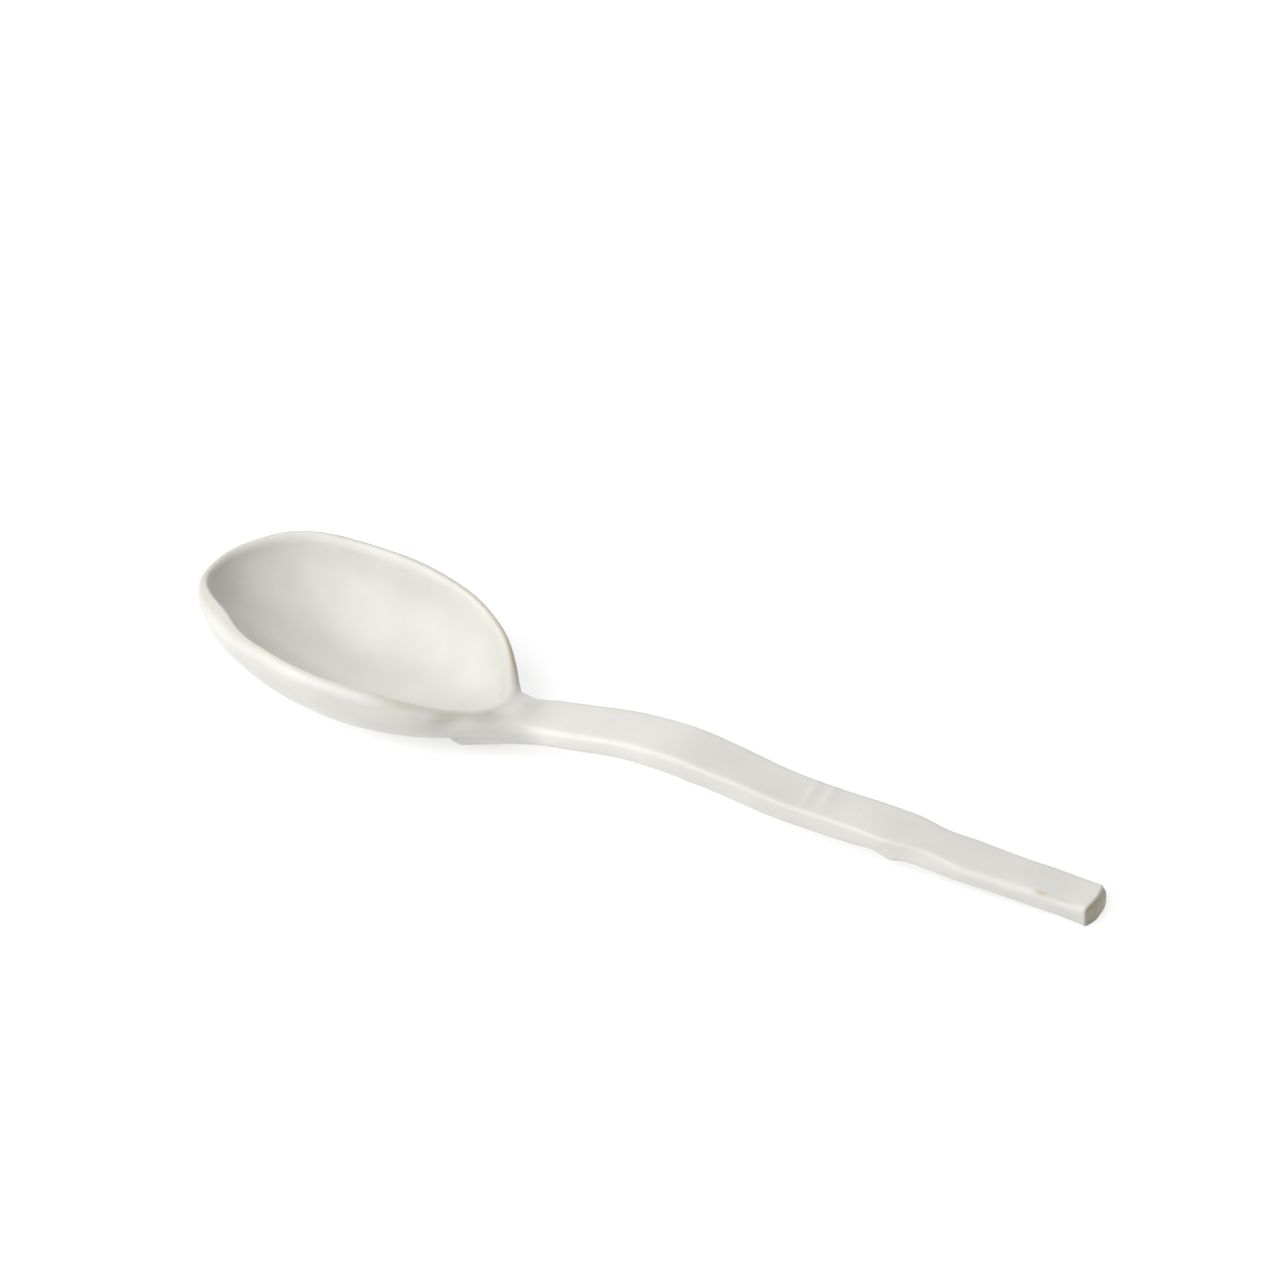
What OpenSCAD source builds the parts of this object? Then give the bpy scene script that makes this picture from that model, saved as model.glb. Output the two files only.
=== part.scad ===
// Hand-built ceramic serving spoon, glazed all over and fired in one piece.
// A pinched bowl, a strip handle bent to a low arch, and the clay that joins them.
// The origin is the middle of the bowl's foot, +X runs to the handle's end, +Z is up.
// The spoon stands on the bowl's foot and on the underside of the handle's end.

/* [Whole spoon] */
// Length from the bowl's tip to the handle's end
spoon_len = 250; // [200:5:320]

/* [Bowl] */
// Length of the bowl over its rim
bowl_len = 92; // [76:1:112]
// Width of the bowl over its rim
bowl_w = 59; // [46:1:70]
// Height of the rim at the tip
tip_h = 29.5; // [24:0.5:36]
// Height of the rim at the neck
neck_h = 15.5; // [13:0.5:19]
// Rise of the rim at mid-length above a straight line from tip to neck
rim_rise = 7; // [2:0.5:9]
// Thickness of the wall at its rounded lip
lip_t = 3; // [2.2:0.1:4]
// Thickness of the floor under the deepest point
floor_t = 3.4; // [2.6:0.1:5]
// Lean of the wall at the lip, outwards from upright
wall_lean = 8; // [4:1:14]
// Length of the flattened foot that the bowl rests on
foot_len = 28; // [20:1:36]
// Width of that foot
foot_w = 12; // [8:0.5:16]
// Distance of the rim's middle behind the foot's middle
rim_back = 5; // [3:0.5:8]

/* [Neck] */
// Length of the joining clay beyond the bowl's rim
neck_len = 11; // [9:0.5:16]
// Thickness of the tongue of clay pressed on under the bowl
tongue_t = 2.6; // [1.8:0.1:3.2]
// Drop from the rim at the neck to the top of the handle's root
root_drop = 1; // [0.6:0.1:2]

/* [Handle] */
// Greatest width of the handle
handle_w = 15; // [12:0.5:18]
// Greatest thickness of the handle
handle_t = 6.6; // [5.4:0.1:8]
// Rise of the handle's arch above a straight line from root to end
arch_h = 5.4; // [3:0.1:7]
// Radius of the softened top edges
top_edge_r = 2; // [1.2:0.1:2.6]
// Radius of the softened bottom edges
bottom_edge_r = 1.6; // [1:0.1:2.4]
// Rounding of the handle's cut end
end_r = 1; // [0.6:0.1:1.6]
// Slant of the cut end: how far its +Y edge runs past its -Y edge, over the greatest width
end_slant = 1.6; // [0:0.1:3]

/* [Hidden] */
glaze = "#e4e2da";
glaze_shade = "#dad7cd";

// Step by which the neck's clay stands proud of the wall where it ends
seam_step = 0.2;
// Depth by which cuts run past the solid that they cut
overrun = 1;
// Depth that is rubbed off the handle's end to make its resting patch
rub_depth = 0.5;
// How far the neck's clay follows the wall before it turns to the handle
side_lead = 3.5;
top_lead = 3.5;
bottom_lead = 4;
// How far it runs in line with the handle before it meets the handle's root
root_lead = 7;
// Thickness of the rim at the middle of the neck, where the joint stiffens it
shoulder_t = 6;
// Spread of that shoulder round the rim, in degrees
shoulder_spread = 20;

// Outline of the rim: how much its ends are drawn in from an ellipse
tip_point_share = 0.08;
neck_point_share = 0.10;
// Fullness of the wall's two curves, at the lip and at the foot
outer_lip_share = 0.67;
outer_foot_share = 0.03;
inner_lip_share = 0.62;
inner_floor_share = 0.34;

// Dents left by the maker's fingers round the rim.
// Each row: angle from the tip, spread, both in degrees, then inward share and down share of the lip
pinch_shares = [
    [20, 18, -0.16, -0.30],
    [50, 20, -0.36, -0.40],
    [85, 20, 0.24, 0.26],
    [115, 18, -0.16, 0.20],
    [140, 18, 0.10, -0.32],
    [162, 16, 0.24, 0.62],
    [205, 18, -0.22, -0.44],
    [240, 20, -0.14, -0.28],
    [275, 20, 0.10, 0.20],
    [300, 20, 0.11, 0.22],
    [325, 20, 0.12, 0.24],
    [345, 16, -0.05, -0.35]
];

// The handle from root to end.
// Each row: place along it, side shift, arch height, width, thickness
handle_shares = [
    [0.00, 0.00, 0.00, 0.96, 0.86],
    [0.05, 0.00, 0.29, 0.96, 0.86],
    [0.14, 0.01, 0.77, 0.98, 0.88],
    [0.24, 0.01, 1.00, 1.00, 0.96],
    [0.33, 0.00, 0.78, 0.97, 0.99],
    [0.43, -0.01, 0.45, 0.93, 0.99],
    [0.52, -0.01, 0.37, 0.89, 0.96],
    [0.62, 0.00, 0.36, 0.88, 0.95],
    [0.71, 0.01, 0.17, 0.84, 0.89],
    [0.81, 0.01, 0.02, 0.80, 0.86],
    [0.90, 0.00, 0.00, 0.77, 0.92],
    [1.00, 0.00, 0.00, 0.74, 1.12]
];

// How late the end's slant sets in along the handle: a power of the place
slant_power = 12;

// Counts of points: round the bowl, up its outside, over its lip, and down its inside
around = 96;
outer_rows = 16;
lip_rows = 6;
inner_rows = 12;
// Columns of the neck's patch on the wall: first, last and the middle one, at the neck
far_col = 44;
near_col = 56;
// Rows of that patch: its lowest row on the outside, and its highest on the lip's crest
tongue_row = 9;
brow_row = outer_rows + 3;
// Points of the patch's edge over which the tongue thins out at its two corners
tongue_fade = 2;
// Rings from the wall to the handle's root, and along the handle
neck_rings = 12;
handle_rings = 42;
end_rings = 4;

rim_x = -rim_back;
rim_half = bowl_len / 2 - lip_t / 2;
root_x = rim_x + bowl_len / 2 + neck_len;
end_x = spoon_len + rim_x - bowl_len / 2;
root_top = neck_h - root_drop;
end_t = handle_t * handle_shares[len(handle_shares) - 1][4];
end_top = end_t - rub_depth;

function lerp(a, b, t) = a + (b - a) * t;
function unit(v) = v / norm(v);
function bell(angle, middle, spread) =
    let (d = (angle - middle + 540) % 360 - 180) exp(-pow(d / spread, 2));
function bezier(a, b, c, d, t) =
    a * pow(1 - t, 3) + b * 3 * t * pow(1 - t, 2) + c * 3 * t * t * (1 - t) + d * pow(t, 3);

// Middle of the rounded lip, at an angle counted from the tip towards +Y
function rim_in(angle) =
    [for (p = pinch_shares) bell(angle, p[0], p[1]) * p[2] * lip_t] * [for (p = pinch_shares) 1];
function rim_down(angle) =
    [for (p = pinch_shares) bell(angle, p[0], p[1]) * p[3] * lip_t] * [for (p = pinch_shares) 1];
function rim(angle) =
    let (
        c = cos(angle), s = sin(angle), u = (1 - c) / 2,
        point = lerp(tip_point_share, neck_point_share, u),
        half_w = bowl_w / 2 - lip_t / 2,
        draw = 1 - rim_in(angle) / half_w,
        z = lerp(tip_h, neck_h, u) + rim_rise * 4 * u * (1 - u) - rim_down(angle)
    )
    [rim_x - rim_half * c * draw, half_w * s * (1 - point * (1 - s * s)) * draw, z];

// Half thickness of the lip, and the level direction out of the bowl
function lip_r(angle) = lip_t / 2 + (shoulder_t - lip_t) / 2 * bell(angle, 180, shoulder_spread);
function outward(angle) =
    let (d = rim(angle + 1) - rim(angle - 1)) unit([-d[1], d[0], 0]);
function lip_mid(angle) =
    rim(angle) - outward(angle) * (lip_r(angle) - lip_t / 2) - [0, 0, lip_r(angle)];
function wall_out(angle) = outward(angle) * cos(wall_lean) - [0, 0, sin(wall_lean)];
function wall_down(angle) = -outward(angle) * sin(wall_lean) - [0, 0, cos(wall_lean)];

// A point of the bowl's skin: column round it, row from the foot over the lip to the floor
function foot_edge(angle) = [-foot_len / 2 * cos(angle), foot_w / 2 * sin(angle), 0];
function outer_point(angle, t) =
    let (
        top = lip_mid(angle) + wall_out(angle) * lip_r(angle),
        foot = foot_edge(angle),
        flat = [top[0] - foot[0], top[1] - foot[1], 0]
    )
    bezier(foot, foot + flat * outer_foot_share,
        top + wall_down(angle) * top[2] * outer_lip_share, top, t);
function inner_point(angle, t) =
    let (
        top = lip_mid(angle) - wall_out(angle) * lip_r(angle),
        deep = [0, 0, floor_t],
        flat = [top[0], top[1], 0]
    )
    bezier(top, top + wall_down(angle) * (top[2] - floor_t) * inner_lip_share,
        deep + flat * inner_floor_share, deep, t);
function lip_point(angle, turn) =
    lip_mid(angle) + (wall_out(angle) * cos(turn) - wall_down(angle) * sin(turn)) * lip_r(angle);
function skin(col, row) =
    let (angle = 360 * col / around)
    row <= outer_rows ? outer_point(angle, row / outer_rows) :
    row < outer_rows + lip_rows ? lip_point(angle, 180 * (row - outer_rows) / lip_rows) :
    inner_point(angle, (row - outer_rows - lip_rows) / inner_rows);

// The handle's section: a rounded rectangle with its points in step with the neck's patch
across = near_col - far_col;
up = brow_row - tongue_row;
ring_n = 2 * (across + up);
function spaced(k, n) = sin(180 * k / n - 90);
function square_at(k) =
    k <= across ? [-spaced(k, across), -1] :
    k <= across + up ? [-1, spaced(k - across, up)] :
    k <= 2 * across + up ? [spaced(k - across - up, across), 1] :
    [1, -spaced(k - 2 * across - up, up)];
function section(k, w, t, top_r, bottom_r) =
    let (
        q = square_at(k), r = q[1] > 0 ? top_r : bottom_r,
        y = q[0] * w / 2, z = q[1] * t / 2,
        cy = max(-w / 2 + r, min(w / 2 - r, y)), cz = max(-t / 2 + r, min(t / 2 - r, z)),
        way = unit([y - cy, z - cz])
    )
    [cy + way[0] * r, cz + way[1] * r];

// A smooth curve through the rows of the handle's table
function row_at(s) =
    let (n = len(handle_shares) - 2)
    [for (i = [0:n]) if (i == n || s < handle_shares[i + 1][0]) i][0];
function slope(i, c) =
    let (n = len(handle_shares) - 1, a = max(i - 1, 0), b = min(i + 1, n))
    (handle_shares[b][c] - handle_shares[a][c]) / (handle_shares[b][0] - handle_shares[a][0]);
function share(s, c) =
    let (
        i = row_at(s), gap = handle_shares[i + 1][0] - handle_shares[i][0],
        t = (s - handle_shares[i][0]) / gap
    )
    bezier(handle_shares[i][c], handle_shares[i][c] + slope(i, c) * gap / 3,
        handle_shares[i + 1][c] - slope(i + 1, c) * gap / 3, handle_shares[i + 1][c], t);
function handle_ring(s, inset) =
    let (
        w = handle_w * share(s, 3) - 2 * inset, t = handle_t * share(s, 4) - 2 * inset,
        x = lerp(root_x, end_x, s), y = handle_w * share(s, 1),
        z = lerp(root_top, end_top, s) + arch_h * share(s, 2) - inset - t / 2
    )
    [for (k = [0:ring_n - 1])
        let (q = section(k, w, t, top_edge_r, bottom_edge_r))
        [x + end_slant * q[0] / handle_w * pow(s, slant_power), y + q[0], z + q[1]]];

// Faces of a tube of rings, each ring a list of points in the same order
function tube_faces(rings, n) = [
    for (i = [0:rings - 2], k = [0:n - 1])
        let (a = i * n + k, b = i * n + (k + 1) % n)
        each [[a, b, a + n], [b, b + n, a + n]]
];

module bowl() {
    rows = outer_rows + lip_rows + inner_rows;
    points = [
        for (row = [0:rows - 1], col = [0:around - 1]) skin(col, row),
        [0, 0, floor_t]
    ];
    last = (rows - 1) * around;
    faces = [
        [for (col = [around - 1:-1:0]) col],
        each tube_faces(rows, around),
        for (col = [0:around - 1]) [last + col, last + (col + 1) % around, rows * around]
    ];
    color(glaze) polyhedron(points, faces);
}

// Column and row of the patch's edge that goes with one point of the handle's section
function edge_at(k) =
    k <= across ? [far_col + k, tongue_row] :
    k <= across + up ? [near_col, tongue_row + k - across] :
    k <= 2 * across + up ? [near_col - (k - across - up), brow_row] :
    [far_col, brow_row - (k - 2 * across - up)];
function skin_out(col, row) =
    unit(cross(skin(col, row + 1) - skin(col, row - 1), skin(col + 1, row) - skin(col - 1, row)));
// How far a point of the edge is on the tongue, from 0 to 1
function on_tongue(k) = max(0, min(1, k / tongue_fade, (across - k) / tongue_fade));
function lead(k) =
    k <= across ? bottom_lead :
    k >= across + up && k <= 2 * across + up ? top_lead : side_lead;
function neck_line(k, root, way) =
    let (
        at = edge_at(k), wall = skin(at[0], at[1]), out = skin_out(at[0], at[1]),
        a = wall + out * lerp(seam_step, tongue_t, on_tongue(k)),
        d = root - a, along = unit(d - out * (d * out)),
        b = a + along * lead(k), c = root - way * root_lead
    )
    [wall, for (i = [0:neck_rings]) bezier(a, b, c, root, i / neck_rings)];

module neck() {
    root = handle_ring(0, 0);
    next = handle_ring(1 / handle_rings, 0);
    lines = [for (k = [0:ring_n - 1]) neck_line(k, root[k], unit(next[k] - root[k]))];
    rings = neck_rings + 2;
    inside = [
        for (row = [tongue_row + 1:brow_row - 1], col = [far_col + 1:near_col - 1]) skin(col, row)
    ];
    points = [for (i = [0:rings - 1], k = [0:ring_n - 1]) lines[k][i], each inside];
    function edge_index(col, row) =
        row == tongue_row ? col - far_col :
        col == near_col ? across + row - tongue_row :
        row == brow_row ? across + up + near_col - col :
        (2 * across + up + brow_row - row) % ring_n;
    function patch_index(col, row) =
        col == far_col || col == near_col || row == tongue_row || row == brow_row ?
            edge_index(col, row) :
            rings * ring_n + (row - tongue_row - 1) * (across - 1) + col - far_col - 1;
    faces = [
        each tube_faces(rings, ring_n),
        [for (k = [0:ring_n - 1]) (rings - 1) * ring_n + k],
        for (row = [tongue_row:brow_row - 1], col = [far_col:near_col - 1])
            let (
                a = patch_index(col, row), b = patch_index(col + 1, row),
                c = patch_index(col, row + 1), d = patch_index(col + 1, row + 1)
            )
            each [[a, c, b], [b, c, d]]
    ];
    color(glaze_shade) polyhedron(points, faces);
}

module handle() {
    rings = [
        for (i = [0:handle_rings]) handle_ring(lerp(0, 1 - end_r / (end_x - root_x), i / handle_rings), 0),
        for (i = [1:end_rings])
            let (turn = 90 * i / end_rings)
            [for (p = handle_ring(1, end_r * (1 - cos(turn)))) p + [end_r * (sin(turn) - 1), 0, 0]]
    ];
    n = len(rings);
    faces = [
        [for (k = [ring_n - 1:-1:0]) k],
        each tube_faces(n, ring_n),
        [for (k = [0:ring_n - 1]) (n - 1) * ring_n + k]
    ];
    color(glaze) difference() {
        polyhedron([for (r = rings) each r], faces);
        translate([root_x, -handle_w, -handle_t])
            cube([end_x - root_x + overrun, 2 * handle_w, handle_t]);
    }
}

bowl();
neck();
handle();
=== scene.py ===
import bpy
import numpy as np
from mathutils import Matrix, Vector


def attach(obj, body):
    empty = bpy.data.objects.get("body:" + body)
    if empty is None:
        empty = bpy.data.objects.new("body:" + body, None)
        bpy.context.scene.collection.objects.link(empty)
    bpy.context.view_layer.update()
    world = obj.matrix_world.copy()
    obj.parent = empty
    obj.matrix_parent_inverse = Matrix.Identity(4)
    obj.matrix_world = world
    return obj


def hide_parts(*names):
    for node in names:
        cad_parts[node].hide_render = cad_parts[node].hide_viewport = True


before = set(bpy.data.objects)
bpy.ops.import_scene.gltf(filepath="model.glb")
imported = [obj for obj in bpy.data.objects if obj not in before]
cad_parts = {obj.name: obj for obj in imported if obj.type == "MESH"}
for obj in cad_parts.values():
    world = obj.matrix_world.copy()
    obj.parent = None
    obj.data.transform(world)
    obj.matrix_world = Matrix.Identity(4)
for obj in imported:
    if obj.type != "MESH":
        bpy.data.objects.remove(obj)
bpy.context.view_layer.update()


# The bowl
# A ball of pale stoneware pinched out by hand to an egg-shaped cup, 3 mm thick at its wavy lip.
# Its foot is tapped flat on the bench. It is dried, fired and glazed inside and out.
mm = 0.001
bowl_len = 92.0
bowl_w = 59.0
tip_h = 29.5
neck_h = 15.5
rim_rise = 7.0
rim_x = -5.0
lip_t = 3.0
floor_t = 3.4
foot_len = 28.0
foot_w = 12.0
tip_point_share = 0.08
neck_point_share = 0.10

# The lip's section: the part of its thickness that lies outside the crest, and how far down it
# rolls outside and tucks under inside. On the far side, and on the brow over the neck, the crest
# lies further out and the tuck is longer. Where those are is given in degrees from the tip.
roll_share = 0.76
roll_h = 3.0
tuck_h = 1.2
far_roll_share = 0.45
far_roll_h = 2.4
far_tuck_h = 4.0
far_middle = 110.0
far_reach = 90.0
brow_roll_share = 0.42
brow_tuck_h = 5.0
brow_middle = 188.0
brow_reach = 30.0

# The wall: its lean under the lip, how full its curves are at the lip, the foot and the floor,
# the thicker shoulder that carries the handle, and where the neck is joined to it, in degrees
wall_lean = np.radians(8.0)
outer_lip_share = 0.67
outer_foot_share = 0.03
inner_lip_share = 0.52
inner_floor_share = 0.40
shoulder_t = 6.0
shoulder_spread = 20.0
neck_angle = 187.5
neck_fade = 24.0

# How finely the bowl is drawn
bowl_columns = 320
outer_rows = 60
lip_rows = 20
inner_rows = 52

# Dents of the potter's fingers round the rim: angle from the tip and spread, both in degrees,
# then how far each goes inwards and down, as shares of the lip's thickness
pinch_shares = (
    (20, 18, -0.16, -0.30),
    (50, 20, -0.36, -0.40),
    (85, 20, 0.24, 0.26),
    (115, 18, -0.16, 0.20),
    (140, 18, 0.10, -0.32),
    (162, 16, 0.24, 0.62),
    (205, 18, -0.22, -0.44),
    (240, 20, -0.14, -0.28),
    (275, 20, 0.10, 0.20),
    (300, 20, 0.11, 0.22),
    (325, 20, 0.12, 0.24),
    (345, 16, -0.05, -0.35),
)

# Where the lip was left thicker: angle and spread in degrees, and by what share of its thickness
lip_swells = ((322, 15, 0.75), (298, 15, 0.10))

# Slow waves that the hands leave all over: direction, length in mm, phase, and push in mm
hand_waves = (
    ((1.0, 0.4, 0.2), 31.0, 0.5, (0.02, 0.03, 0.05)),
    ((0.3, 1.0, -0.3), 23.0, 2.1, (0.03, 0.03, 0.05)),
    ((0.8, -0.6, 0.5), 17.0, 4.0, (0.03, -0.03, 0.05)),
    ((-0.5, 0.7, 0.9), 12.0, 1.2, (0.02, 0.03, 0.02)),
)
settle_h = 4.0

# Single presses of a finger or the knife: middle, reach along, across and up, and push, in mm
presses = (
    ((30.5, -18.0, 16.0), (5.0, 3.0, 3.0), (-0.40, 0.80, 0.0)),
    ((39.8, 7.2, 12.2), (2.6, 2.6, 2.8), (0.30, 0.70, 0.25)),
    ((43.0, -2.5, 15.0), (3.8, 6.0, 4.0), (0.0, -0.10, 0.80)),
    ((92.0, -6.0, 10.0), (2.4, 3.0, 3.0), (0.0, 0.0, -0.35)),
    ((122.8, 1.0, 12.5), (1.2, 6.0, 3.0), (0.0, 0.0, 0.24)),
    ((127.3, 2.0, 12.2), (1.1, 5.0, 3.0), (0.0, 0.0, 0.20)),
    ((140.5, -5.5, 5.0), (2.2, 3.0, 3.0), (0.0, 0.0, 0.35)),
    ((144.0, -6.4, 11.0), (5.0, 3.0, 3.0), (0.0, -0.45, -0.25)),
    ((146.5, -5.5, 4.5), (2.6, 4.0, 2.5), (0.0, -0.20, -1.30)),
    ((150.0, 6.4, 9.5), (4.0, 3.0, 3.0), (0.0, 0.25, 0.10)),
    ((155.0, -6.1, 8.8), (5.5, 3.0, 3.0), (0.0, 0.50, 0.30)),
    ((158.5, 6.2, 8.5), (4.5, 3.0, 3.0), (0.0, -0.40, -0.10)),
    ((166.5, -6.0, 7.5), (4.0, 3.0, 3.0), (0.0, -0.40, -0.35)),
    ((176.0, -5.8, 7.0), (5.5, 3.0, 3.0), (0.0, -0.20, -0.45)),
    ((187.0, 5.8, 6.5), (6.0, 3.0, 3.0), (0.0, 0.50, 0.0)),
    ((193.0, -5.6, 0.5), (11.0, 3.0, 3.0), (0.0, 0.50, 0.45)),
    ((191.5, -5.5, 7.0), (4.0, 3.0, 3.0), (0.0, 0.0, -0.40)),
)


def unit(v):
    return v / np.linalg.norm(v, axis=-1, keepdims=True)


def mix(a, b, t):
    return a + (b - a) * t


def smooth(t):
    t = np.clip(t, 0, 1)
    return t * t * (3 - 2 * t)


def points_of(x, y, z):
    return np.stack(np.broadcast_arrays(x, y, z), axis=-1)


def bell(angle, middle, spread):
    return np.exp(-(((angle - middle + 540) % 360 - 180) / spread) ** 2)


def bezier(a, b, c, d, t):
    return a * (1 - t) ** 3 + b * 3 * t * (1 - t) ** 2 + c * 3 * t * t * (1 - t) + d * t ** 3


def rim(angle):
    """The outer edge of the lip's top, at an angle in degrees from the tip towards +Y."""
    c, s = np.cos(np.radians(angle)), np.sin(np.radians(angle))
    u = (1 - c) / 2
    inward = lip_t * sum(bell(angle, place, wide) * share for place, wide, share, _ in pinch_shares)
    down = lip_t * sum(bell(angle, place, wide) * share for place, wide, _, share in pinch_shares)
    half_len, half_w = (bowl_len - lip_t) / 2, (bowl_w - lip_t) / 2
    draw = 1 - inward / half_w
    point = mix(tip_point_share, neck_point_share, u)
    z = mix(tip_h, neck_h, u) + rim_rise * 4 * u * (1 - u) - down
    return points_of(rim_x - half_len * c * draw, half_w * s * (1 - point * (1 - s * s)) * draw, z)


def skin(angle, v):
    """The bowl's skin: v is 0 to 1 up the outside, to 2 over the lip and to 3 down the inside."""
    angle, v = np.broadcast_arrays(np.asarray(angle, float), np.asarray(v, float))
    up, flat = np.array([0.0, 0.0, 1.0]), np.array([1.0, 1.0, 0.0])
    along = rim(angle + 1) - rim(angle - 1)
    out = unit(points_of(-along[..., 1], along[..., 0], 0.0))
    swell = lip_t * sum(bell(angle, middle, spread) * share for middle, spread, share in lip_swells)
    wide = (mix(lip_t, shoulder_t, bell(angle, 180, shoulder_spread)) + swell)[..., None]
    far = bell(angle, far_middle, far_reach)[..., None]
    brow = bell(angle, brow_middle, brow_reach)[..., None]
    roll = wide * mix(mix(roll_share, far_roll_share, far), brow_roll_share, brow)
    tuck = wide - roll
    crest = rim(angle) + out * (lip_t / 2 - roll)
    level = out * np.cos(wall_lean) - up * np.sin(wall_lean)
    fall = -out * np.sin(wall_lean) - up * np.cos(wall_lean)
    roll_fall = fall * mix(roll_h, far_roll_h, far)
    tuck_fall = fall * mix(mix(tuck_h, far_tuck_h, far), brow_tuck_h, brow)
    turned = np.radians(angle)
    foot = points_of(-foot_len / 2 * np.cos(turned), foot_w / 2 * np.sin(turned), 0.0)
    top = crest + level * roll + roll_fall
    outside = bezier(
        foot, foot + (top - foot) * flat * outer_foot_share,
        top + fall * top[..., 2:] * outer_lip_share, top, np.clip(v, 0, 1)[..., None])
    turn = np.pi * np.clip(v - 1, 0, 1)[..., None]
    rolled = crest + level * np.cos(turn) * roll + roll_fall * (1 - np.sin(turn))
    tucked = crest + level * np.cos(turn) * tuck + tuck_fall * (1 - np.sin(turn))
    edge, deep = crest - level * tuck + tuck_fall, up * floor_t
    inside = bezier(
        edge, edge + fall * (edge[..., 2:] - floor_t) * inner_lip_share,
        deep + edge * flat * inner_floor_share, deep, np.clip(v - 2, 0, 1)[..., None])
    v = v[..., None]
    lip = np.where(v < 1.5, rolled, tucked)
    return np.where(v <= 1, outside, np.where(v < 2, lip, inside))


def spot(points, place, reach):
    """1 at a place, fading to 0 past its reach along, across and up."""
    return np.exp(-(((points - place) / reach) ** 2).sum(-1))


def hand_worked(points):
    """The same points with the slow waves of hand work, which fade out where the clay stands."""
    moved = points.copy()
    calm = smooth(points[..., 2:] / settle_h)
    for way, length, phase, push in hand_waves:
        wave = np.sin(points @ unit(np.array(way)) * 2 * np.pi / length + phase)
        moved += calm * wave[..., None] * np.array(push)
    for place, reach, push in presses:
        moved += spot(points, place, reach)[..., None] * push
    return moved


def skin_normal(angle, v):
    """The way out of the bowl's hand-worked skin."""
    da, dv, margin = 0.3, 0.004, 0.001
    low, high = np.clip(v - dv, margin, 3 - margin), np.clip(v + dv, margin, 3 - margin)
    climb = hand_worked(skin(angle, high)) - hand_worked(skin(angle, low))
    round_it = hand_worked(skin(angle + da, v)) - hand_worked(skin(angle - da, v))
    return unit(np.cross(climb, round_it))


def tube_faces(rings, n):
    """Faces between rings of n points each, seen from outside the tube."""
    return [
        (i * n + k, (i + 1) * n + k, (i + 1) * n + (k + 1) % n, i * n + (k + 1) % n)
        for i in range(rings - 1) for k in range(n)
    ]


def fan_faces(first, n, tip):
    """Faces that close a ring of n points, from its first point on, with one point."""
    return [(first + k, tip, first + (k + 1) % n) for k in range(n)]


def clay_piece(name, node, points, faces, normals, thin_and_shade):
    """One closed piece of glazed clay that stands for a node, with its mask of thin glaze and
    painted shade.
    """
    mesh = bpy.data.meshes.new(name)
    mesh.from_pydata((points * mm).tolist(), [], faces)
    mesh.update()
    mesh.shade_smooth()
    mesh.attributes.new("thin_glaze_and_shade", "FLOAT", "POINT").data.foreach_set("value", thin_and_shade)
    mesh.normals_split_custom_set_from_vertices(normals.tolist())
    piece = bpy.data.objects.new(name, mesh)
    bpy.context.scene.collection.objects.link(piece)
    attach(piece, "root")
    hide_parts(node)
    return piece


# The lip's thin glaze: how thin it is all round, and how much thinner on the far side, which is
# also painted shade there, as that lip faces away from the light; where over the lip's half turn it
# is thinnest, and where the far side is, both in degrees
lip_thin = 0.66
far_lip_thin_and_shade = 0.9
thin_turn = 75.0
thin_turn_reach = 42.0
thin_far_middle = 140.0
thin_far_reach = 55.0

# Painted shade under the near lip, inside the tip and on the far lip by the neck, put in as thin
# glaze, and one real wipe of thin glaze near the handle's end: middle and reach in mm, and how thin
shade_and_wipes = (
    # painted shade: the dark valley under the near lip by the neck, tinted tan
    ((28.0, -18.5, 18.5), (7.0, 5.0, 2.4), 0.75),
    # painted shade under the near lip's crest, tinted tan
    ((11.0, -25.0, 23.2), (13.0, 4.0, 1.9), 0.58),
    # painted shade inside the tip, where the near wall shades the hollow, made warmer
    ((-46.5, 3.0, 23.0), (8.0, 14.0, 9.0), 0.62),
    # painted shade on the far lip by the neck, which faces away from the light
    ((35.5, 12.5, 17.0), (6.0, 6.0, 4.0), 0.40),
    # a real wipe of thin glaze along the near top edge by the handle's end
    ((192.0, -4.5, 6.6), (4.0, 0.8, 1.0), 0.55),
)


def shaded_and_wiped(points):
    """How thin the glaze is at these points, from the sponge's wipe and from the painted shade."""
    return sum(thin_and_shade * spot(points, place, reach) for place, reach, thin_and_shade in shade_and_wipes)


angles = np.arange(bowl_columns) * 360 / bowl_columns
levels = np.concatenate([
    np.linspace(0, 1, outer_rows + 1),
    1 + np.linspace(0, 1, lip_rows + 1)[1:],
    2 + np.linspace(0, 1, inner_rows + 1)[1:-1],
])
angle_grid, level_grid = np.meshgrid(angles, levels)
wall = hand_worked(skin(angle_grid, level_grid)).reshape(-1, 3)
wall_normals = skin_normal(angle_grid, level_grid).reshape(-1, 3)
wall_normals[:bowl_columns] = (0, 0, -1)
bowl_points = np.vstack([wall, [[0, 0, floor_t]]])
bowl_normals = np.vstack([wall_normals, [[0, 0, 1]]])
last_ring = (len(levels) - 1) * bowl_columns
bowl_faces = tube_faces(len(levels), bowl_columns)
bowl_faces.append(tuple(range(bowl_columns)))
bowl_faces += fan_faces(last_ring, bowl_columns, last_ring + bowl_columns)
lip_turn = np.clip(level_grid - 1, 0, 1).reshape(-1) * 180
at_neck = bell(angle_grid, neck_angle, neck_fade).reshape(-1)
on_lip = np.exp(-((lip_turn - thin_turn) / thin_turn_reach) ** 2) * (lip_turn > 0) * (1 - at_neck)
at_far = bell(angle_grid, thin_far_middle, thin_far_reach).reshape(-1)
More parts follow.
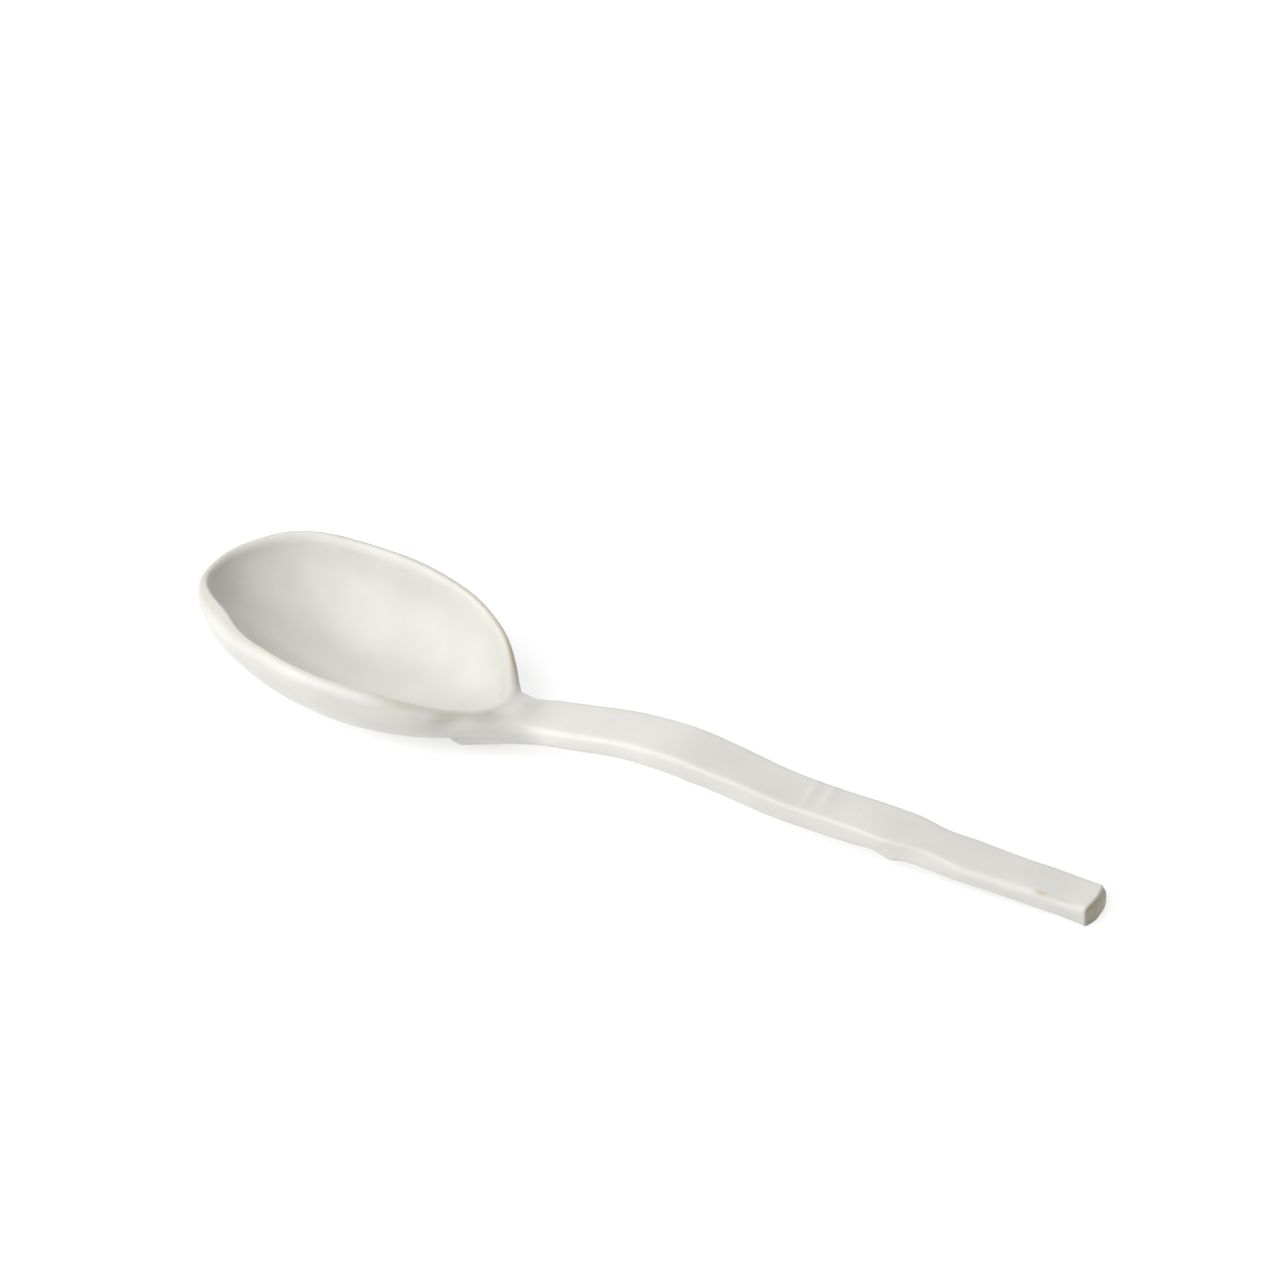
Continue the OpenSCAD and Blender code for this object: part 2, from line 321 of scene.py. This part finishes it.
bowl_thin_and_shade = np.append((lip_thin + far_lip_thin_and_shade * at_far) * on_lip + shaded_and_wiped(wall), 0.0)
bowl = clay_piece("glazed_bowl", "bowl", bowl_points, bowl_faces, bowl_normals, bowl_thin_and_shade)


# The glaze
# A satin-matt off-white tin glaze, poured and wiped, about 0.3 mm thick. It pulls thin on the lip
# and the handle's edges, where the clay warms it to beige, and iron in the clay bleeds as specks.
glaze_colour = (0.80, 0.79, 0.745, 1)
# The beige of thin glaze also paints shade under the near lip, inside the tip, on the far lip and
# under the handle's end; the clay colour paints part of the end face's shade
thin_and_shade_colour = (0.68, 0.64, 0.55, 1)
clay_and_shade_colour = (0.56, 0.47, 0.30, 1)
iron_colour = (0.16, 0.13, 0.10, 1)
glaze_ior = 1.5

# Its clouds, and at what value the mask of thin glaze and painted shade begins to show beige and
# where the clay shows through
cloudiness = 0.04
cloud_scale = 70.0
thin_from = 0.25
bare_from = 1.1
bare_to = 2.2
raggedness = 0.24
ragged_scale = 500.0

# The specks: cells to the metre, size and core as shares of a cell and of a speck, the least size
# as a share of the size, and the share of cells that hold one
specks_per_metre = 75.0
speck_size = 0.02
speck_core = 0.6
least_speck = 0.4
speck_share = 0.25

# The relief, 0.06 mm high at most, and the sheen. Scales of noises are to the metre, and a noise
# runs from about its low to its high value.
relief_h = 0.00006
ripple_depth = 0.5
ripple_scale = 260.0
peel_depth = 0.3
peel_scale = 1100.0
sheen_scale = 160.0
smoothest = 0.29
roughest = 0.35
noise_low = 0.3
noise_high = 0.7


def node_group(name, inputs, outputs):
    """An empty shader group with its sockets, and its input and output nodes."""
    group = bpy.data.node_groups.new(name, "ShaderNodeTree")
    for label, kind, value in inputs:
        socket = group.interface.new_socket(name=label, in_out="INPUT", socket_type=kind)
        if value is not None:
            socket.default_value = value
    for label, kind in outputs:
        group.interface.new_socket(name=label, in_out="OUTPUT", socket_type=kind)
    start, end = group.nodes.new("NodeGroupInput"), group.nodes.new("NodeGroupOutput")
    return group, start, end


def add(tree, kind, values=None, **settings):
    """A node with its settings, and with values or links put on its inputs."""
    node = tree.nodes.new(kind)
    for key, value in settings.items():
        setattr(node, key, value)
    for key, value in (values or {}).items():
        if isinstance(value, bpy.types.NodeSocket):
            tree.links.new(value, node.inputs[key])
        else:
            node.inputs[key].default_value = value
    return node


def noise(tree, place, scale, detail):
    return add(tree, "ShaderNodeTexNoise", {
        "Vector": place, "Scale": scale, "Detail": detail, "Roughness": 0.5}).outputs["Fac"]


def ranged(tree, value, low, high, to_low=0.0, to_high=1.0, steps="SMOOTHSTEP"):
    return add(tree, "ShaderNodeMapRange", {
        "Value": value, "From Min": low, "From Max": high, "To Min": to_low, "To Max": to_high,
    }, interpolation_type=steps).outputs["Result"]


def math(tree, operation, *values):
    return add(tree, "ShaderNodeMath", dict(enumerate(values)), operation=operation).outputs[0]


def mixed(tree, factor, a, b, blend="MIX"):
    """A mix of two colours, whose sockets are numbers 6 and 7 of the node."""
    return add(tree, "ShaderNodeMix", {0: factor, 6: a, 7: b},
               data_type="RGBA", blend_type=blend).outputs[2]


# Colour of the glaze, cloudy where it pooled, beige where it is thin and where shade is painted,
# and clay-coloured where the mask runs highest, on the cut end partly as painted shade
glaze_tone, tone_in, tone_out = node_group("glaze_tone", (
    ("Place", "NodeSocketVector", None), ("Thin And Shade", "NodeSocketFloat", 0.0),
    ("Glaze", "NodeSocketColor", glaze_colour), ("Thin Glaze And Shade", "NodeSocketColor", thin_and_shade_colour),
    ("Clay And Shade", "NodeSocketColor", clay_and_shade_colour),
    ("Cloud", "NodeSocketFloat", cloudiness)), (("Color", "NodeSocketColor"),))
place = tone_in.outputs["Place"]
cloud = noise(glaze_tone, place, cloud_scale, detail=3.0)
cloud = ranged(glaze_tone, cloud, noise_low, noise_high, -1.0, 1.0, "LINEAR")
cloud = math(glaze_tone, "MULTIPLY", tone_in.outputs["Cloud"], cloud)
darker = math(glaze_tone, "SUBTRACT", 1.0, cloud)
clouded = mixed(glaze_tone, 1.0, tone_in.outputs["Glaze"], darker, "MULTIPLY")
grain = noise(glaze_tone, place, ragged_scale, detail=3.0)
ragged = math(glaze_tone, "MULTIPLY_ADD", grain, raggedness, -raggedness / 2)
worn_and_shaded = math(glaze_tone, "ADD", tone_in.outputs["Thin And Shade"], ragged)
beige_and_shade_share = ranged(glaze_tone, worn_and_shaded, thin_from, bare_from)
thinned_and_shaded = mixed(glaze_tone, beige_and_shade_share, clouded, tone_in.outputs["Thin Glaze And Shade"])
bared_and_shaded = mixed(
    glaze_tone, ranged(glaze_tone, worn_and_shaded, bare_from, bare_to), thinned_and_shaded, tone_in.outputs["Clay And Shade"])
glaze_tone.links.new(bared_and_shaded, tone_out.inputs["Color"])

# Iron specks, scattered through the clay on a loose grid
iron_specks, speck_in, speck_out = node_group("iron_specks", (
    ("Place", "NodeSocketVector", None), ("Per Metre", "NodeSocketFloat", specks_per_metre),
    ("Size", "NodeSocketFloat", speck_size), ("Share", "NodeSocketFloat", speck_share)),
    (("Mask", "NodeSocketFloat"),))
cell = add(iron_specks, "ShaderNodeTexVoronoi", {
    "Vector": speck_in.outputs["Place"], "Scale": speck_in.outputs["Per Metre"]})
drawn = add(iron_specks, "ShaderNodeSeparateColor", {"Color": cell.outputs["Color"]})
kept = math(iron_specks, "LESS_THAN", drawn.outputs["Red"], speck_in.outputs["Share"])
sized = math(
    iron_specks, "MULTIPLY", speck_in.outputs["Size"],
    math(iron_specks, "ADD", drawn.outputs["Green"], least_speck))
outward = math(iron_specks, "DIVIDE", cell.outputs["Distance"], sized)
inside = ranged(iron_specks, outward, 1.0, speck_core)
iron_specks.links.new(math(iron_specks, "MULTIPLY", inside, kept), speck_out.inputs["Mask"])

# Relief of the glaze: a fine orange peel over slow ripples, and the roughness that goes with it
glaze_relief, relief_in, relief_out = node_group("glaze_relief", (
    ("Place", "NodeSocketVector", None), ("Ripple", "NodeSocketFloat", ripple_depth),
    ("Peel", "NodeSocketFloat", peel_depth)),
    (("Height", "NodeSocketFloat"), ("Roughness", "NodeSocketFloat")))
place = relief_in.outputs["Place"]
ripple = math(
    glaze_relief, "MULTIPLY", noise(glaze_relief, place, ripple_scale, detail=1.0),
    relief_in.outputs["Ripple"])
peel = math(
    glaze_relief, "MULTIPLY", noise(glaze_relief, place, peel_scale, detail=1.0),
    relief_in.outputs["Peel"])
glaze_relief.links.new(math(glaze_relief, "ADD", ripple, peel), relief_out.inputs["Height"])
sheen = noise(glaze_relief, place, sheen_scale, detail=3.0)
sheen = ranged(glaze_relief, sheen, noise_low, noise_high, smoothest, roughest, "LINEAR")
glaze_relief.links.new(sheen, relief_out.inputs["Roughness"])


def glaze(name):
    """The spoon's glaze on one piece."""
    material = bpy.data.materials.new(name)
    material.use_nodes = True
    tree = material.node_tree
    shader = tree.nodes["Principled BSDF"]
    place = tree.nodes.new("ShaderNodeTexCoord").outputs["Object"]
    thin_and_shade = add(tree, "ShaderNodeAttribute", attribute_name="thin_glaze_and_shade").outputs["Fac"]
    tone = add(tree, "ShaderNodeGroup", {"Place": place, "Thin And Shade": thin_and_shade}, node_tree=glaze_tone)
    specks = add(tree, "ShaderNodeGroup", {"Place": place}, node_tree=iron_specks)
    relief = add(tree, "ShaderNodeGroup", {"Place": place}, node_tree=glaze_relief)
    tree.links.new(
        mixed(tree, specks.outputs["Mask"], tone.outputs["Color"], iron_colour),
        shader.inputs["Base Color"])
    tree.links.new(relief.outputs["Roughness"], shader.inputs["Roughness"])
    bump = add(tree, "ShaderNodeBump", {
        "Height": relief.outputs["Height"], "Strength": 1.0, "Distance": relief_h})
    tree.links.new(bump.outputs["Normal"], shader.inputs["Normal"])
    shader.inputs["IOR"].default_value = glaze_ior
    return material


bowl.data.materials.append(glaze("bowl_glaze"))


# The handle
# A strip cut from a slab of the same clay with a wire, its edges softened with a wet finger.
# It is bent to a low arch, and its end is rubbed flat underneath where it stands on the table.
spoon_len = 250.0
neck_len = 11.0
root_drop = 1.0
handle_w = 15.0
handle_t = 6.6
arch_h = 5.4
root_x = rim_x + bowl_len / 2 + neck_len
end_x = spoon_len + rim_x - bowl_len / 2
root_top = neck_h - root_drop

# Radii of its edges. The near top edge is softer at the root and again near the end.
top_edge_r = 1.8
bottom_edge_r = 1.6
root_edge_r = 1.9
near_edge_r = 1.4
tip_edge_r = 2.1
soft_share = 0.5
tip_share = 0.65
tip_fade = 0.2

# The cut end: its rounded rim, its slant across, how much is rubbed off under it, how far its
# middle stands out at the top and low down, and how far its lower part leans out on either side
end_r = 0.5
end_slant = 1.6
slant_power = 12
rub_depth = 0.5
end_reach = 5.0
end_back = 0.8
top_crown = 0.9
low_crown = 0.3
near_lean = 0.3
far_lean = 1.2
low_share = 0.55

# How finely the handle is drawn
across = 30
upright = 18
handle_rings = 300
round_rings = 6
cap_rings = 6

# The strip from root to end: place, side shift, arch height, width, thickness, all as shares
shift_column, arch_column, width_column, thick_column = 1, 2, 3, 4
handle_shares = np.array((
    (0.00, 0.00, 0.00, 0.96, 0.86),
    (0.05, 0.00, 0.29, 0.96, 0.86),
    (0.14, 0.01, 0.77, 0.98, 0.88),
    (0.24, 0.01, 1.00, 1.00, 0.96),
    (0.33, 0.00, 0.78, 0.97, 0.99),
    (0.43, -0.01, 0.45, 0.93, 0.99),
    (0.52, -0.01, 0.37, 0.89, 0.96),
    (0.62, 0.00, 0.36, 0.88, 0.95),
    (0.71, 0.01, 0.17, 0.84, 0.89),
    (0.81, 0.01, 0.02, 0.80, 0.86),
    (0.90, 0.00, 0.00, 0.77, 0.92),
    (1.00, 0.00, 0.00, 0.74, 1.12),
))
end_top = handle_t * handle_shares[-1, thick_column] - rub_depth


def share(s, column):
    """A smooth curve through one column of the strip's table."""
    places, values = handle_shares[:, 0], handle_shares[:, column]
    before = np.maximum(np.arange(len(places)) - 1, 0)
    after = np.minimum(np.arange(len(places)) + 1, len(places) - 1)
    slopes = (values[after] - values[before]) / (places[after] - places[before])
    i = np.clip(np.searchsorted(places, s, side="right") - 1, 0, len(places) - 2)
    gap = places[i + 1] - places[i]
    return bezier(
        values[i], values[i] + slopes[i] * gap / 3,
        values[i + 1] - slopes[i + 1] * gap / 3, values[i + 1], (s - places[i]) / gap)


# Points of a square in step with the strip's section, closer together at its corners
runs = [np.sin(np.pi * (np.arange(count) / count - 0.5)) for count in (across, upright)]
square = np.concatenate([
    np.stack([-runs[0], np.full(across, -1.0)], -1),
    np.stack([np.full(upright, -1.0), runs[1]], -1),
    np.stack([runs[0], np.full(across, 1.0)], -1),
    np.stack([np.full(upright, 1.0), -runs[1]], -1),
])
ring_n = len(square)


def handle_ring(s, inset=0.0):
    """Sections of the strip at places s, drawn in by inset, before the end is rubbed flat."""
    s, inset = np.asarray(s, float)[:, None], np.asarray(inset, float)
    inset = inset[:, None] if inset.ndim else inset
    half_w = handle_w * share(s, width_column) / 2 - inset
    half_t = handle_t * share(s, thick_column) / 2 - inset
    near_r = mix(root_edge_r, near_edge_r, smooth(s / soft_share))
    near_r = mix(near_r, tip_edge_r, smooth((s - tip_share) / tip_fade))
    top_r = np.where(square[:, 0] < 0, near_r, top_edge_r)
    r = np.where(square[:, 1] > 0, top_r, bottom_edge_r)
    y, z = square[:, 0] * half_w, square[:, 1] * half_t
    cy = np.clip(y, r - half_w, half_w - r)
    cz = np.clip(z, r - half_t, half_t - r)
    way = unit(np.stack([y - cy, z - cz], -1)) * r[..., None]
    side = cy + way[..., 0]
    top = mix(root_top, end_top, s) + arch_h * share(s, arch_column) - inset
    x = mix(root_x, end_x, s) + end_slant * side / handle_w * s ** slant_power
    y = handle_w * share(s, shift_column) + side
    return points_of(x, y, top - half_t + cz + way[..., 1])


def grid_normals(rings):
    """Normals of a tube of rings, from each point's neighbours."""
    along = np.gradient(rings, axis=0)
    round_it = np.roll(rings, -1, axis=1) - np.roll(rings, 1, axis=1)
    return unit(np.cross(along, round_it))


places = np.linspace(0, 1 - end_r / (end_x - root_x), handle_rings + 1)
strip = handle_ring(places)
turns = np.radians(90 * np.arange(1, round_rings + 1) / round_rings)
rounded = handle_ring(np.ones(round_rings), end_r * (1 - np.cos(turns)))
rounded[..., 0] += end_r * (np.sin(turns)[:, None] - 1)
middle = rounded[-1].mean(axis=0)
cap = np.array([mix(rounded[-1], middle, i / cap_rings) for i in range(1, cap_rings)])
handle_grid = np.concatenate([strip, rounded, cap])

# The knife left the end crowned and leaning: its lower part runs past its top edge
end_w = handle_w * handle_shares[-1, width_column]
crosswise = np.clip(handle_grid[..., 1] / end_w * 2, -1, 1)
lowness = smooth((1 - handle_grid[..., 2] / end_top) / low_share)
near_end = smooth((handle_grid[..., 0] - end_x) / end_reach + 1)
lean = mix(near_lean, far_lean, smooth(crosswise + 1))
crown = mix(top_crown, low_crown, lowness) * (1 - crosswise ** 2)
handle_grid[..., 0] += near_end * (crown + lean * lowness - end_back)
handle_grid = hand_worked(handle_grid)
handle_grid[..., 2] = np.maximum(handle_grid[..., 2], 0)
handle_normals = grid_normals(handle_grid)
end_middle = mix(handle_grid[-1, 0], handle_grid[-1, ring_n // 2], 0.5)
handle_points = np.vstack([handle_grid.reshape(-1, 3), [end_middle]])
rings = len(handle_grid)
handle_faces = tube_faces(rings, ring_n)
handle_faces.append(tuple(range(ring_n)))
handle_faces += fan_faces((rings - 1) * ring_n, ring_n, rings * ring_n)

# Where the glaze is thin: on the edges a little, and at a chip on the near edge. The cut end is
# beige to clay, from its thinner glaze and from painted shade, as it faces away from the light; a
# band under its top edge is painted darker still, the shade of a groove the mesh does not have,
# with the clay's brown
top_edge_thin = 0.42
low_edge_thin = 0.10
edge_share = 0.6
end_thin_and_shade = 1.75
end_middle_thin_and_shade = 0.8
groove_shade_and_clay = 0.8
groove_drop = 1.3
groove_h = 0.5
chip_thin = 1.3
chip = (186.2, -4.9, 7.0)
chip_reach = (1.5, 0.7, 1.5)
on_edge = smooth((np.abs(square[:, 0] * square[:, 1]) - edge_share) / (1 - edge_share))
edge_thin = np.where(square[:, 1] > 0, top_edge_thin, low_edge_thin) * on_edge
on_end = np.zeros((rings, 1))
on_end[-cap_rings:] = 1.0
groove = np.exp(-((handle_grid[..., 2] - end_top + groove_drop) / groove_h) ** 2) * on_end
handle_thin_and_shade = edge_thin + end_thin_and_shade * on_end + groove_shade_and_clay * groove + shaded_and_wiped(handle_grid)
handle_thin_and_shade += chip_thin * spot(handle_grid, chip, chip_reach)
handle_thin_and_shade = np.append(handle_thin_and_shade.reshape(-1), end_middle_thin_and_shade)
end_way = unit(handle_normals[-1].mean(axis=0))
handle = clay_piece(
    "glazed_handle", "handle", handle_points, handle_faces,
    np.vstack([handle_normals.reshape(-1, 3), end_way]), handle_thin_and_shade)
handle.data.materials.append(glaze("handle_glaze"))


# The neck
# Soft clay pressed into the joint and drawn over the bowl's wall with a finger, so that the rim
# flows into the handle. Under the bowl it ends in a blunt tongue that was left as it was pressed.

# Where it covers the bowl's wall: its level on the skin, its half widths in degrees, its reach up
# and down in steps of v, and how round its outline is
neck_level = 1.0
far_spread = 27.0
near_spread = 25.0
near_flare = 6.0
flare_fade = 0.8
near_drop = 0.10
top_reach = 0.50
bottom_reach = 0.56
top_round = 1.0
bottom_round = 0.4

# How far it follows the wall before it turns, on each side, and how far it runs on in line with
# the handle, more and more level towards its top
side_lead = 4.5
near_lead = 8.0
top_lead = 5.0
near_top_lead = 3.0
bottom_lead = 4.0
root_lead = 6.0
near_root_lead = 11.0
level_share = 0.35
top_gain = 1.4
blend_share = 0.2
sunk = 0.06
sunk_power = 8

# The tongue under the bowl
tongue_t = 2.8
tongue_rise = 0.22
tongue_level = 0.6
tongue_fade = 0.33

# The finger's strokes over the far corner
finger_strokes = 24
finger_start = 0.12
finger_end = 0.4
far_corner_y = 0.5
far_corner_z = -0.5
far_corner_fade = 0.3

# How finely the neck is drawn
neck_rings = 44
patch_rings = 10

corner_round = np.where(square[:, 1] > 0, top_round, bottom_round)
round_y = square[:, 0] * np.sqrt(1 - corner_round * square[:, 1] ** 2 / 2)
round_z = square[:, 1] * np.sqrt(1 - corner_round * square[:, 0] ** 2 / 2)
flare = smooth((round_z + 1) / flare_fade) * smooth((1 - round_z) / flare_fade)
flared = near_spread + near_flare * flare
neck_spread = np.where(round_y > 0, far_spread, flared)
neck_reach = np.where(round_z > 0, top_reach, bottom_reach)
neck_drop = near_drop * smooth(-round_y) * (1 - round_z ** 2)


def patch(size):
    """Places on the bowl's wall round the joint's outline, drawn in to a share of its size."""
    angle = neck_angle - neck_spread * round_y * size
    return angle, neck_level + (neck_reach * round_z - neck_drop) * size


root = strip[0]
start = skin(*patch(1.0))
out = skin_normal(*patch(1.0))
to_root = root - start
along = unit(to_root - out * (to_root * out).sum(-1, keepdims=True))
sideways = round_y ** 2 / (round_y ** 2 + round_z ** 2)
upright_lead = np.where(round_z > 0, top_lead, bottom_lead)
level_lead = np.where(round_y > 0, side_lead, near_lead)
on_tongue = smooth((-round_z - tongue_level) / tongue_fade)[:, None]
t = np.linspace(0, 1, neck_rings + 1)[:, None, None]
on_top = smooth(round_z * top_gain)
near_top = (smooth(-round_y) * on_top)[:, None]
back = mix(root_lead, near_root_lead, near_top)
lead = mix(mix(upright_lead, level_lead, sideways)[:, None], near_top_lead, near_top)
ahead = unit(strip[1] - strip[0])
ahead[:, 2] *= 1 - level_share * on_top
drawn = bezier(start, start + along * lead, root - ahead * back, root, t)
drawn += out * on_tongue * tongue_t * (1 - t) ** 2 * (1 + 2 * t) * smooth(t / tongue_rise)
drawn -= out * sunk * (1 - t) ** sunk_power

# The far corner is stroked smooth, but not where it meets the bowl and the handle
far_corner = (smooth((round_y - far_corner_y) / far_corner_fade)
              * smooth((round_z - far_corner_z) / far_corner_fade))
finger = smooth(t / finger_start) * smooth((1 - t) / finger_end) * far_corner[:, None]
for _ in range(finger_strokes):
    beside = (np.roll(drawn, 1, axis=1) + np.roll(drawn, -1, axis=1)) / 2
    drawn = mix(drawn, beside, finger)
neck_grid = hand_worked(drawn)
next_ring = handle_grid[1:2]
neck_normals = grid_normals(np.concatenate([neck_grid, next_ring]))[:-1]
neck_normals = unit(mix(out, neck_normals, np.maximum(smooth(t / blend_share), on_tongue)))
neck_normals[-1] = handle_normals[0]
under = np.array([hand_worked(skin(*patch(1 - i / patch_rings))) for i in range(1, patch_rings)])
centre_place = np.array([neck_angle]), np.array([neck_level])
centre = hand_worked(skin(*centre_place))
under_rings = np.concatenate([under[::-1], neck_grid])
rings = len(under_rings)
neck_points = np.vstack([under_rings.reshape(-1, 3), centre])
neck_faces = tube_faces(rings, ring_n)
neck_faces.append(tuple((rings - 1) * ring_n + k for k in range(ring_n))[::-1])
neck_faces += fan_faces(0, ring_n, rings * ring_n)
hidden = np.tile(-out, (patch_rings - 1, 1, 1))
neck_normals = np.vstack([
    hidden.reshape(-1, 3), neck_normals.reshape(-1, 3), -skin_normal(*centre_place)])
neck = clay_piece(
    "glazed_neck", "neck", neck_points, neck_faces, neck_normals, shaded_and_wiped(neck_points))
neck.data.materials.append(glaze("neck_glaze"))


# The table
# A sheet of plain white paper, in metres, that the spoon stands on. It keeps the spoon's soft
# shadow, and it glows to the camera, more so far from the spoon, so that it ends in pure white.
white = (1, 1, 1, 1)
paper_colour = (0.64, 0.64, 0.64, 1)
paper_roughness = 0.9
half_floor = 3.0
near_glow = 0.60
far_glow = 1.0
glow_start = 0.35
glow_end = 0.90


def seen_by(tree, first, *others):
    """1 for rays of these kinds, and 0 for all others."""
    rays = tree.nodes.new("ShaderNodeLightPath").outputs
    seen = rays[first]
    for kind in others:
        seen = math(tree, "MAXIMUM", seen, rays[kind])
    return seen


floor_mesh = bpy.data.meshes.new("floor")
floor_points = [
    (x * half_floor, y * half_floor, 0) for x, y in ((-1, -1), (1, -1), (1, 1), (-1, 1))]
floor_mesh.from_pydata(floor_points, [], [(0, 1, 2, 3)])
floor = bpy.data.objects.new("floor", floor_mesh)
bpy.context.scene.collection.objects.link(floor)
paper = bpy.data.materials.new("white_paper")
paper.use_nodes = True
tree = paper.node_tree
shader = tree.nodes["Principled BSDF"]
shader.inputs["Base Color"].default_value = paper_colour
shader.inputs["Roughness"].default_value = paper_roughness
shader.inputs["Emission Color"].default_value = white
place = tree.nodes.new("ShaderNodeTexCoord").outputs["Object"]
from_middle = add(tree, "ShaderNodeVectorMath", {0: place}, operation="LENGTH").outputs["Value"]
glow = ranged(tree, from_middle, glow_start, glow_end, near_glow, far_glow)
seen = seen_by(tree, "Is Camera Ray", "Is Glossy Ray")
tree.links.new(math(tree, "MULTIPLY", seen, glow), shader.inputs["Emission Strength"])
floor_mesh.materials.append(paper)


# The light and the camera
# A tall soft window near the spoon's bowl, as a high and a low part, and a white wall behind the
# spoon that throws its light back. Bearings are in degrees, lengths in metres, power in watts.
aim = Vector((0.0559, 0.0426, 0.010))
room_light = 0.07
camera_azimuth = np.radians(24.6)
camera_elevation = np.radians(38.0)
camera_distance = 1.0
lens_mm = 105.78
sensor_mm = 36.0

# Name, azimuth, elevation, distance, width, height and power
lamps = (
    ("window", 240, 50, 1.2, 1.5, 0.8, 10.4),
    ("low_window", 250, 17, 1.2, 1.2, 0.8, 6.2),
    ("white_wall", 90, 50, 1.6, 2.2, 1.6, 12.0),
)


def lamp(name, azimuth, elevation, distance, wide, high, power):
    """A soft light of that size and bearing from the spoon, turned to it."""
    data = bpy.data.lights.new(name, "AREA")
    data.shape = "RECTANGLE"
    data.size = wide
    data.size_y = high
    data.energy = power
    light = bpy.data.objects.new(name, data)
    a, e = np.radians(azimuth), np.radians(elevation)
    way = Vector((np.cos(e) * np.cos(a), np.cos(e) * np.sin(a), np.sin(e)))
    light.location = aim + way * distance
    light.rotation_euler = way.to_track_quat("Z", "Y").to_euler()
    bpy.context.scene.collection.objects.link(light)


for values in lamps:
    lamp(*values)

world = bpy.data.worlds.new("white_room")
bpy.context.scene.world = world
world.use_nodes = True
tree = world.node_tree
background = tree.nodes["Background"]
background.inputs["Color"].default_value = white
seen = seen_by(tree, "Is Camera Ray", "Is Glossy Ray", "Is Transmission Ray")
tree.links.new(
    ranged(tree, seen, 0.0, 1.0, room_light, 1.0, "LINEAR"), background.inputs["Strength"])

view = Vector((
    -np.sin(camera_azimuth) * np.cos(camera_elevation),
    np.cos(camera_azimuth) * np.cos(camera_elevation),
    -np.sin(camera_elevation)))
camera_data = bpy.data.cameras.new("camera")
camera_data.sensor_width = sensor_mm
camera_data.lens = lens_mm
camera = bpy.data.objects.new("camera", camera_data)
camera.location = aim - view * camera_distance
camera.rotation_euler = view.to_track_quat("-Z", "Y").to_euler()
bpy.context.scene.collection.objects.link(camera)
bpy.context.scene.camera = camera
bpy.context.scene.view_settings.view_transform = "Standard"
